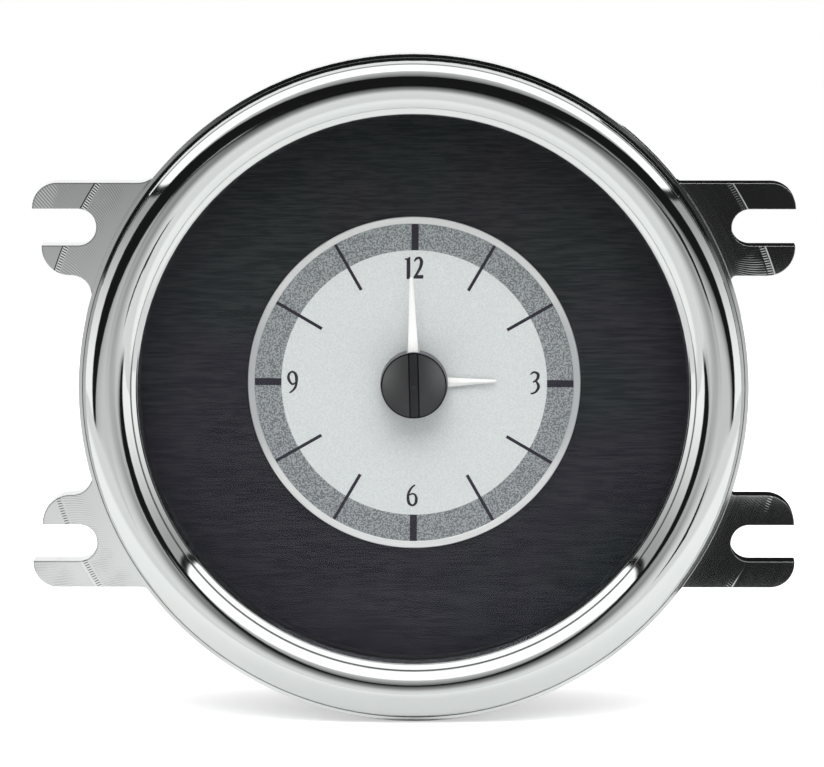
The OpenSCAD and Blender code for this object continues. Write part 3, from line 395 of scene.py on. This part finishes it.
def penned(points):
    """The outline of a pen stroke through points of (x, z, width), eased between them and round at both ends."""
    line = []
    for i in range(len(points) - 1):
        a, b = Vector(points[i]), Vector(points[i + 1])
        before = Vector(points[i - 1]) if i else a * 2.0 - b
        after = Vector(points[i + 2]) if i + 2 < len(points) else b * 2.0 - a
        for j in range(STROKE_STEPS):
            t = j / STROKE_STEPS
            line.append(((2.0 * a) + (b - before) * t + (2.0 * before - 5.0 * a + 4.0 * b - after) * t * t
                         + (3.0 * a - before - 3.0 * b + after) * t * t * t) * 0.5)
    line.append(Vector(points[-1]))
    left, right, bows = [], [], []
    for i, (x, z, width) in enumerate(line):
        way = (line[min(i + 1, len(line) - 1)] - line[max(i - 1, 0)]).xy.normalized()
        side = Vector((-way.y, way.x)) * width / 2.0
        left.append(Vector((x, z)) + side)
        right.append(Vector((x, z)) - side)
        if i in (0, len(line) - 1):
            out = -way if i == 0 else way
            turns = [math.pi * k / BOW_STEPS for k in range(1, BOW_STEPS)]
            bows.append([Vector((x, z)) + (side * math.cos(a) + out * side.length * math.sin(a)) for a in turns])
    start, end = bows
    return [tuple(p) for p in left + end + right[::-1] + start[::-1]]


DIAL_TURN = math.radians(0.35)
MARK_OUTER_R = 25.19
QUARTER_MARK, HOUR_MARK = (RING_INNER_R, 0.56), (16.9, 0.25)
bm = bmesh.new()
for hour in range(12):
    turn = math.pi / 2.0 - hour * math.pi / 6.0 - DIAL_TURN
    c, s = math.cos(turn), math.sin(turn)
    inner, half = QUARTER_MARK if hour % 3 == 0 else HOUR_MARK
    corners = ((inner, -half), (MARK_OUTER_R, -half), (MARK_OUTER_R, half), (inner, half))
    inked(bm, [(r * c - w * s, r * s + w * c) for r, w in corners])

# 12: the whole 1, then the bow of the 2 and its foot
inked(bm, [
    (-1.52, 19.58), (-1.41, 19.72), (-1.06, 19.75), (-0.71, 19.98), (-0.62, 19.98),
    (-0.62, 16.44), (-1.20, 16.44), (-1.20, 19.35), (-1.22, 19.46), (-1.41, 19.47),
])
inked(bm, penned([
    (0.05, 19.31, 0.23), (0.35, 19.68, 0.39), (0.83, 19.79, 0.39), (1.13, 19.35, 0.53), (1.13, 18.89, 0.53),
    (0.95, 18.25, 0.48), (0.53, 17.46, 0.42), (0.12, 16.82, 0.37), (0.0, 16.68, 0.3),
]))
inked(bm, [(-0.12, 16.51), (0.3, 17.07), (1.34, 17.09), (1.46, 17.02), (1.43, 16.51)], INK_OVER)

# 3: the upper bow and the lower one
inked(bm, penned([
    (18.42, 1.34, 0.19), (18.76, 1.62, 0.3), (19.14, 1.66, 0.35), (19.56, 1.38, 0.46), (19.58, 0.92, 0.46),
    (19.41, 0.53, 0.39), (19.18, 0.32, 0.32), (18.86, 0.13, 0.26),
]))
inked(bm, penned([
    (19.18, 0.32, 0.28), (19.42, 0.01, 0.35), (19.65, -0.49, 0.46), (19.56, -0.98, 0.42), (19.21, -1.44, 0.33),
    (18.83, -1.66, 0.28), (18.51, -1.72, 0.26),
]), INK_OVER)

# 6: the bowl and the long stroke down its left side
inked(bm, penned([
    (-0.75, -17.87, 0.21), (-0.49, -17.72, 0.25), (-0.17, -17.68, 0.28), (0.15, -17.87, 0.33),
    (0.32, -18.3, 0.42), (0.32, -18.75, 0.46), (0.22, -19.14, 0.42), (-0.03, -19.44, 0.33),
    (-0.31, -19.53, 0.32),
]))
inked(bm, penned([
    (0.06, -16.34, 0.26), (-0.24, -16.54, 0.3), (-0.59, -16.96, 0.35), (-0.87, -17.52, 0.4),
    (-0.98, -18.08, 0.44), (-0.96, -18.61, 0.46), (-0.86, -19.07, 0.46), (-0.63, -19.38, 0.4),
    (-0.31, -19.53, 0.33),
]), INK_OVER)

# 9: the long stroke down its right side and the bowl
inked(bm, penned([
    (-19.31, 1.75, 0.3), (-18.89, 1.52, 0.39), (-18.64, 0.99, 0.49), (-18.61, 0.43, 0.46),
    (-18.64, -0.13, 0.4), (-18.8, -0.73, 0.39), (-19.1, -1.15, 0.33), (-19.42, -1.44, 0.3),
    (-19.64, -1.58, 0.26),
]))
inked(bm, penned([
    (-19.31, 1.75, 0.3), (-19.66, 1.52, 0.33), (-19.87, 1.1, 0.42), (-19.87, 0.64, 0.44),
    (-19.7, 0.22, 0.4), (-19.42, -0.17, 0.35), (-19.13, -0.24, 0.3), (-18.75, 0.01, 0.21),
]), INK_OVER)
ink = Finish("dial_ink", {"Specular IOR Level": 0.25})
ink.grained(ink.noise(9.0), (0.014, 0.011, 0.019), (0.028, 0.025, 0.035), (0.5, 0.7))
finish_piece(bm, "dial_marks", "case", ink.material)

# Hands: two white hands stamped from thin sheet with a crease along the blade, each on a turned hub.
# The hour hand is pressed on the hour pipe, and the minute hand on the minute arbor above it.

HOUR_DIRECTION, MINUTE_DIRECTION = math.radians(1.4), math.radians(91.45)
BLADE_STEPS, TIP_ANGLES, TIP_LEAST = 24, (22.5, 45.0, 67.5, 86.0), 0.004
BORE_WALL, SHEET, CREASE, FULL_CREASE = 0.4, 0.22, 0.27, 0.35
CREST_SHARE, CREST_DROP = 0.12, 0.01
HUB_CHAMFER, HUB_STEPS = 0.12, 64

hand_white = Finish("hand_paint", {"Specular IOR Level": 0.3})
spray = hand_white.noise(3.0, detail=3.0)
hand_white.grained(spray, (0.86, 0.86, 0.85), (0.92, 0.92, 0.91), (0.42, 0.58), 0.004)


def hand(name, body, direction, length, root, tip, foot, hub, bore):
    """A creased blade with its back at y = foot, on a turned hub of (outer radius, back y, front y)."""
    bm = bmesh.new()
    way = Vector((math.cos(direction), 0.0, math.sin(direction)))
    side = Vector((-way.z, 0.0, way.x))
    start, rounding = bore + BORE_WALL, length - tip / 2.0
    stops = [start + (rounding - start) * i / BLADE_STEPS for i in range(BLADE_STEPS + 1)]
    stops += [length - tip / 2.0 * (1.0 - math.sin(math.radians(a))) for a in TIP_ANGLES]
    edge = foot - SHEET
    rows = []
    for along in stops:
        half = root / 2.0 + (tip - root) / 2.0 * min(along / rounding, 1.0)
        late = max(along - rounding, 0.0) / (tip / 2.0)
        half *= math.sqrt(max(1.0 - late * late, TIP_LEAST))
        flat = half * CREST_SHARE
        crest = edge - CREASE * min(half / FULL_CREASE, 1.0) + CREST_DROP
        places = [(-half, foot), (-half, edge), (-flat, crest), (flat, crest), (half, edge), (half, foot)]
        spots = [way * along + side * s + Vector((0.0, y, 0.0)) for s, y in places]
        rows.append([bm.verts.new(p / MM_PER_M) for p in spots])
    skin(bm, rows)
    bm.faces.new(rows[0])
    bm.faces.new(rows[-1])
    outer, back, front = hub
    chamfer = [(outer, front + HUB_CHAMFER), (outer - HUB_CHAMFER, front)]
    turned(bm, [(bore, back), (outer, back), *chamfer, (bore, front)], HUB_STEPS)
    piece = finish_piece(bm, name, body, hand_white.material, sharp=25.0)
    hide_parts(name.replace("creased_", ""))


hand("creased_hour_hand", "hour", HOUR_DIRECTION,
     length=13.0, root=2.2, tip=0.4, foot=4.8, hub=(2.4, 5.0, 3.4), bore=1.52)
hand("creased_minute_hand", "minute", MINUTE_DIRECTION,
     length=17.1, root=2.1, tip=0.55, foot=1.7, hub=(1.7, 3.2, 1.0), bore=0.82)

# Hub cap: a black satin moulding pushed on the minute arbor, with a groove across it in line with the minute hand.
# Its skirt is notched where the minute hand comes out.

GROOVE_HALF, GROOVE_EDGE, CAP_EDGE = 0.72, (0.74, 0.82), (4.92, 5.04)

cap_black = moulded(
    "cap_black", (0.013, 0.0135, 0.0135), (0.021, 0.0215, 0.0215), rough=0.42, grain=8.0, relief=0.003
)
radius = cap_black.polar()[0]
across_z = cap_black.product(cap_black.z, math.cos(MINUTE_DIRECTION))
across_x = cap_black.product(cap_black.x, math.sin(MINUTE_DIRECTION))
beside = cap_black.math("ABSOLUTE", cap_black.math("SUBTRACT", across_z, across_x))
in_groove = cap_black.fall(beside, *GROOVE_EDGE)
facing = cap_black.parts(cap_black.node("NewGeometry").outputs["Normal"])["Y"]
on_skirt = cap_black.span(facing, -0.5, -0.3)
# painted shade: dark lines along the groove's edges and round the cap's edge, but not on the skirt
painted_corner_shade = cap_black.line(beside, GROOVE_HALF, 0.05, 0.17)
painted_corner_shade = cap_black.math("MAXIMUM", painted_corner_shade, cap_black.span(radius, *CAP_EDGE))
painted_corner_shade = cap_black.product(painted_corner_shade, cap_black.math("SUBTRACT", 1.0, on_skirt))
# painted sheen: lighter towards the cap's upper sides, away from the groove
painted_sheen = cap_black.product(cap_black.span(beside, 0.9, 5.0), cap_black.span(cap_black.z, -3.4, 2.2))
painted_sheen_and_shade = cap_black.colour(painted_sheen, cap_black.base, (0.078, 0.08, 0.08))
# painted shade darkens the groove, and a painted reflection lightens the skirt
painted_sheen_and_shade = cap_black.colour(in_groove, painted_sheen_and_shade, (0.008, 0.0085, 0.009))
painted_sheen_and_shade = cap_black.colour(on_skirt, painted_sheen_and_shade, (0.075, 0.075, 0.088))
cap_black.set("Base Color", cap_black.colour(painted_corner_shade, painted_sheen_and_shade, (0.002, 0.002, 0.0025)))
shine = cap_black.level(in_groove, 0.45, 0.3)
cap_black.set("Specular IOR Level", cap_black.level(painted_corner_shade, shine, 0.0))
cap_black.dress("hub_cap")

# Light guide and circuit board: an opal acrylic disc behind the dial, and the round board that carries the lamps.
# The board holds the control chip, crystal and capacitor, and its tracks show through the green lacquer.

opal = moulded("opal_acrylic", (0.78, 0.79, 0.77), (0.86, 0.87, 0.85), rough=0.4, grain=2.0, relief=0.003)
opal.dress("light_guide")

WEAVE_RATE = 9.0
board = Finish("board_lacquer", {"Specular IOR Level": 0.5})
weave = board.product(board.wave(board.x, WEAVE_RATE), board.wave(board.z, WEAVE_RATE))
cells = board.node("TexVoronoi", {"feature": "DISTANCE_TO_EDGE"}, {"Vector": board.place, "Scale": 0.16})
track = board.fall(cells.outputs["Distance"], 0.05, 0.07)
lacquer = board.colour(board.span(weave, -1.0, 1.0), (0.008, 0.07, 0.03), (0.012, 0.09, 0.04))
board.grained(track, lacquer, (0.03, 0.16, 0.06), (0.38, 0.25), 0.03)
board.dress("circuit_board")

lamp = Finish("lamp_phosphor", {"Specular IOR Level": 0.5})
lamp.grained(lamp.noise(7.0, detail=3.0), (0.80, 0.70, 0.28), (0.90, 0.84, 0.55), (0.3, 0.5))
lamp.dress("dial_lamps")


def worked_metal(name, dark, light, rough, centre=None, stretch=(0.5, 8.0, 12.0)):
    """Bare metal, turned in rings about a centre or else drawn out by a stretch."""
    made = Finish(name, {"Metallic": 1.0})
    mark = made.turning((11.0, 1.6, 5.0), 3.0, centre) if centre else made.noise(1.0, stretch, 3.0)
    stain = made.noise(0.3)
    made.set("Base Color", made.colour(made.mean(mark, stain), dark, light))
    made.set("Roughness", made.level(mark, rough - 0.08, rough + 0.1))
    made.bump(mark, 0.004)
    return made


STEEL = ((0.50, 0.50, 0.51), (0.66, 0.66, 0.67))
worked_metal("drawn_steel_can", *STEEL, 0.25).dress("quartz_crystal")

STRIPE_EDGE = (15.2, 15.4)
sleeve = Finish("shrunk_sleeve", {"Specular IOR Level": 0.5})
wrinkle = sleeve.noise(2.5, (1.0, 0.3, 1.0), 3.0)
stripe = sleeve.span(sleeve.z, *STRIPE_EDGE)
sleeve.set("Base Color", sleeve.colour(stripe, (0.015, 0.035, 0.13), (0.45, 0.47, 0.52)))
sleeve.set("Roughness", sleeve.level(wrinkle, 0.22, 0.4))
sleeve.bump(wrinkle, 0.01)
sleeve.dress("smoothing_capacitor")

ivory = moulded("ivory_plastic", (0.62, 0.57, 0.44), (0.72, 0.67, 0.54), rough=0.45)
ivory.dress("board_spacers", "coil_bobbin", "front_plate", "middle_plate", "rear_plate")

# Movement: moulded ivory plates on turned brass pillars, a stepper motor and a train that gears it down to the hands.
# Wheels are turned in rings about their own arbors, and the core is a stack of iron sheets.

BRASS = ((0.60, 0.42, 0.16), (0.78, 0.59, 0.28))
worked_metal("drawn_brass", *BRASS, 0.3, stretch=(8.0, 0.6, 8.0)).dress("connector_pins")
worked_metal("pillar_brass", *BRASS, 0.28, stretch=(8.0, 1.0, 8.0)).dress("plate_pillars")

DIAL_POST, MINUTE_POST, THIRD_POST = (0.0, 0.0), (0.0, -9.0), (0.0, 10.5)
SET_POST, ROTOR_POST = (0.0, -18.0), (7.794, 15.0)
TURNED = (
    ("centre_brass", BRASS, 0.25, DIAL_POST, ("hour_wheel", "centre_wheel", "retaining_collet")),
    ("minute_wheel_brass", BRASS, 0.25, MINUTE_POST, ("minute_wheel",)),
    ("third_wheel_brass", BRASS, 0.25, THIRD_POST, ("third_wheel",)),
    ("bush_brass", BRASS, 0.28, SET_POST, ("stem_bush",)),
    ("stem_steel", STEEL, 0.2, SET_POST, ("set_stem",)),
    ("arbor_steel", STEEL, 0.2, DIAL_POST, ("minute_arbor", "clutch_spring")),
    ("minute_pinion_steel", STEEL, 0.2, MINUTE_POST, ("minute_pinion",)),
    ("third_pinion_steel", STEEL, 0.2, THIRD_POST, ("third_pinion",)),
    ("rotor_steel", STEEL, 0.2, ROTOR_POST, ("rotor_arbor",)),
)
for name, metal, rough, post, pieces in TURNED:
    worked_metal(name, *metal, rough, post).dress(*pieces)

IRON_SHEET, WIRE_PITCH = 0.35, 0.22
iron = Finish("sheet_iron", {"Metallic": 1.0})
iron.grained(iron.noise(1.5, detail=4.0), (0.20, 0.20, 0.21), (0.34, 0.34, 0.35), (0.35, 0.55))
iron.bump(iron.wave(iron.y, 2.0 * math.pi / IRON_SHEET), 0.015)
iron.dress("stator", "coil_core")

copper = Finish("enamelled_copper", {"Metallic": 0.85, "Coat Weight": 0.4})
turns = copper.wave(copper.x, 2.0 * math.pi / WIRE_PITCH)
copper.set("Base Color", copper.colour(copper.span(turns, -1.0, 1.0), (0.28, 0.09, 0.03), (0.62, 0.25, 0.10)))
copper.set("Roughness", copper.level(copper.noise(3.0), 0.25, 0.4))
copper.bump(turns, 0.05)
copper.dress("coil_winding")

ferrite = Finish("bonded_ferrite", {"Specular IOR Level": 0.4})
crystal = ferrite.noise(8.0, detail=4.0)
ferrite.grained(crystal, (0.02, 0.02, 0.021), (0.06, 0.058, 0.056), (0.45, 0.7), 0.01)
ferrite.dress("rotor_magnet")

zinc = Finish("bright_zinc", {"Metallic": 1.0})
zinc.grained(zinc.noise(0.8, detail=3.0), (0.56, 0.58, 0.62), (0.70, 0.70, 0.66), (0.2, 0.38))
zinc.bump(zinc.noise(5.0), 0.004)
zinc.dress("case_screws", "board_screws", "movement_screws", "stator_screws")

# Rear case: a deep moulded can with spark-eroded grain that closes the back and clamps the stack against the bezel.
# It is held to the bezel by six screws through its flange.

case_black = Finish("eroded_grain", {"Specular IOR Level": 0.4})
orange = case_black.noise(2.2, detail=4.0)
rub = case_black.noise(0.15, detail=3.0)
case_black.set("Base Color", case_black.colour(rub, (0.014, 0.014, 0.015), (0.026, 0.026, 0.027)))
case_black.set("Roughness", case_black.level(orange, 0.4, 0.62))
case_black.bump(orange, 0.05)
case_black.dress("rear_case")

# Floor, cards, light and camera: a white table with a pale card standing on it in front of the clock, under a tent.
# The card, the dark gap above it and the white overhead sheet are what the polished bezel shows.
# A black flag stands behind the clock on the right, where the crown's outer edge mirrors it.

FLOOR = cad_box[0][2]
TABLE_HALF = 0.7
CARD_Y, CARD_SIDE, CARD_TOP = -0.175, 0.0695, 0.041
FLAG_Y, FLAG_LEFT, FLAG_RIGHT, FLAG_TOP = 0.1, 0.04, 0.12, 0.08
WHITE = (1.0, 1.0, 1.0)


def grey(shade):
    return (shade, shade, shade)


def flat_sheet(name, corners, finish):
    """A flat sheet of the studio, which isn't part of the clock."""
    bm = bmesh.new()
    bm.faces.new([bm.verts.new(p) for p in corners])
    mesh = bpy.data.meshes.new(name)
    bm.to_mesh(mesh)
    bm.free()
    mesh.materials.append(finish.material)
    made = bpy.data.objects.new(name, mesh)
    bpy.context.scene.collection.objects.link(made)
    return made


def standing_sheet(name, left, right, y, top, finish):
    """A sheet that stands on the floor and shows only where the clock mirrors it."""
    corners = [(left, y, FLOOR), (right, y, FLOOR), (right, y, top), (left, y, top)]
    made = flat_sheet(name, corners, finish)
    made.visible_camera = made.visible_diffuse = made.visible_transmission = made.visible_shadow = False


# the table: white to the camera, greyer where it is mirrored, and black at the card's foot for the lower right ear
table = Finish("white_table", {"Specular IOR Level": 0.0, "Roughness": 0.9, "Emission Color": WHITE})
white = table.colour(table.noise(0.05), grey(0.84), grey(0.86))
mirrored = table.colour(table.span(table.y, -95.0, -65.0), grey(0.59), grey(0.78))
for_ear = table.product(table.band(table.x, (44.0, 46.0), (68.0, 70.0)), table.fall(table.y, -161.0, -158.0))
mirrored = table.colour(for_ear, mirrored, grey(0.02))
ray = table.node("LightPath").outputs
table.set("Base Color", table.colour(ray["Is Glossy Ray"], white, mirrored))
seen = table.math("MAXIMUM", ray["Is Camera Ray"], ray["Is Transmission Ray"])
table.set("Emission Strength", table.product(seen, 0.5))
flat_sheet("white_table", [
    (-TABLE_HALF, CARD_Y, FLOOR), (TABLE_HALF, CARD_Y, FLOOR),
    (TABLE_HALF, TABLE_HALF, FLOOR), (-TABLE_HALF, TABLE_HALF, FLOOR),
], table)

# the card: bright at its foot, dark at its top, and black on the right outside the crown, where the ears mirror it
MIRROR_X, MIRROR_Z, MIRROR_SCALE = 1.8, 17.2, 0.892
paper = Finish("pale_card", {"Base Color": grey(0.0), "Specular IOR Level": 0.0, "Emission Color": WHITE})
shade = paper.span(paper.z, -50.0, 30.0, 0.98, 0.30, "LINEAR")
side = paper.span(paper.math("ABSOLUTE", paper.x), 14.0, 50.0)
fade = paper.span(paper.z, paper.level(side, 4.0, 27.0), paper.level(side, 36.0, 40.0), 1.0, 0.05)
shade = paper.product(shade, fade, paper.level(side, paper.span(paper.z, -34.0, 6.0, 1.0, 0.5), 1.0))
level_x = paper.product(paper.total(paper.x, MIRROR_X), MIRROR_SCALE)
level_z = paper.product(paper.total(paper.z, MIRROR_Z), MIRROR_SCALE)
past_rim = paper.span(paper.hypotenuse(level_x, level_z), 50.9, 51.7)
at_ears = paper.band(paper.math("ABSOLUTE", level_z), (15.5, 18.0), (37.5, 40.0))
for_ears = paper.product(past_rim, paper.span(paper.x, 20.0, 25.0), at_ears)
paper.set("Emission Strength", paper.level(for_ears, shade, 0.02))
standing_sheet("pale_card", -CARD_SIDE, CARD_SIDE, CARD_Y, CARD_TOP, paper)

felt = Finish("black_felt", {"Specular IOR Level": 0.0, "Roughness": 1.0})
felt.set("Base Color", felt.colour(felt.noise(0.5), grey(0.008), grey(0.012)))
standing_sheet("dark_flag", FLAG_LEFT, FLAG_RIGHT, FLAG_Y, FLAG_TOP, felt)

world = bpy.data.worlds.new("tent")
bpy.context.scene.world = world
world.use_nodes = True
sky = Graph(world.node_tree)


def degrees(operation, *values):
    return sky.math("DEGREES", sky.math(operation, *values))


x, y, z = sky.parts(sky.node("TexCoord").outputs["Generated"])
forward, sideways = sky.product(y, -1.0), sky.math("ABSOLUTE", x)
round_from_top = degrees("ARCTAN2", sideways, z)
off_axis = degrees("ARCCOSINE", forward)
height = degrees("ARCSINE", z)
aside = degrees("ARCTAN2", sideways, forward)

# the tent's walls: the overhead sheet, the side sheets beyond a dark seam, and a pale wall below
DARK, SEAM, LOW_WALL = 0.012, 57.5, 0.95
overhead = sky.level(sky.span(off_axis, 43.5, 46.5), sky.span(off_axis, 27.0, 45.0, 0.25, 0.65), 1.5)
side_sheet = sky.span(round_from_top, 60.0, 95.0, 0.45, 1.2)
tone = sky.level(sky.span(round_from_top, 55.5, 57.0), overhead, side_sheet)
tone = sky.level(sky.line(round_from_top, SEAM, 0.8, 1.8), tone, DARK)
tone = sky.level(sky.span(round_from_top, 98.0, 108.0), tone, LOW_WALL)


def far_edge(level, start, drop, reach, power):
    """The height of the far table's edge, which falls by drop as it goes aside from start by reach, in degrees."""
    out = sky.math("MAXIMUM", sky.math("SUBTRACT", aside, start), 0.0)
    return sky.math("SUBTRACT", level, sky.product(sky.math("POWER", out, power), drop / reach ** power))


# the tent's opening in front: dark, with a table far off in its lower part
opening = sky.math("SUBTRACT", off_axis, sky.span(round_from_top, 0.0, 90.0, 27.0, 54.0))
on_right = sky.span(x, -0.02, 0.02)
edge = sky.level(on_right, far_edge(3.0, 10.0, 14.0, 37.0, 2.0), far_edge(5.8, 15.0, 13.0, 30.0, 3.0))
dip = sky.span(aside, 0.0, 7.0, 9.0, 0.0)
under = sky.math("SUBTRACT", sky.math("SUBTRACT", edge, dip), height)
far_table = sky.span(under, 0.0, 9.0, sky.level(on_right, 0.5, 0.14), 0.75, "LINEAR")
ahead = sky.level(sky.span(under, -0.6, 0.6), DARK, far_table)
in_front = sky.product(sky.fall(opening, -1.5, 1.5), sky.span(height, -13.0, -9.0))
tone = sky.level(in_front, tone, ahead)

# white behind the clock, and to the camera
tone = sky.level(sky.span(off_axis, 100.0, 125.0), tone, 1.0)
tone = sky.level(sky.node("LightPath").outputs["Is Camera Ray"], tone, 1.0)
sky.feed(world.node_tree.nodes["Background"].inputs["Color"], tone)

LAMP_POWER, LAMP_SIZE, LAMP_REACH = 10.3, 0.9, 0.9
lamp_data = bpy.data.lights.new("soft_front", "AREA")
lamp_data.energy = LAMP_POWER
lamp_data.size = LAMP_SIZE
soft_front = bpy.data.objects.new("soft_front", lamp_data)
soft_front.location = (0.0, -LAMP_REACH, LAMP_REACH)
soft_front.rotation_euler = (math.radians(45.0), 0.0, 0.0)
soft_front.visible_glossy = False
bpy.context.scene.collection.objects.link(soft_front)

RISE, SWING, DISTANCE = math.radians(5.6), math.radians(0.6), 1.45
TARGET = Vector((-0.0003, 0.0, 0.00033))
camera_data = bpy.data.cameras.new("camera")
camera_data.sensor_width = 36.0
camera_data.lens = 402.0
camera_data.clip_end = 20.0
camera = bpy.data.objects.new("camera", camera_data)
back = Vector((math.sin(SWING) * math.cos(RISE), -math.cos(SWING) * math.cos(RISE), math.sin(RISE)))
camera.location = TARGET + DISTANCE * back
camera.rotation_euler = (math.pi / 2.0 - RISE, 0.0, SWING)
bpy.context.scene.collection.objects.link(camera)
bpy.context.scene.camera = camera
bpy.context.scene.view_settings.view_transform = "Standard"
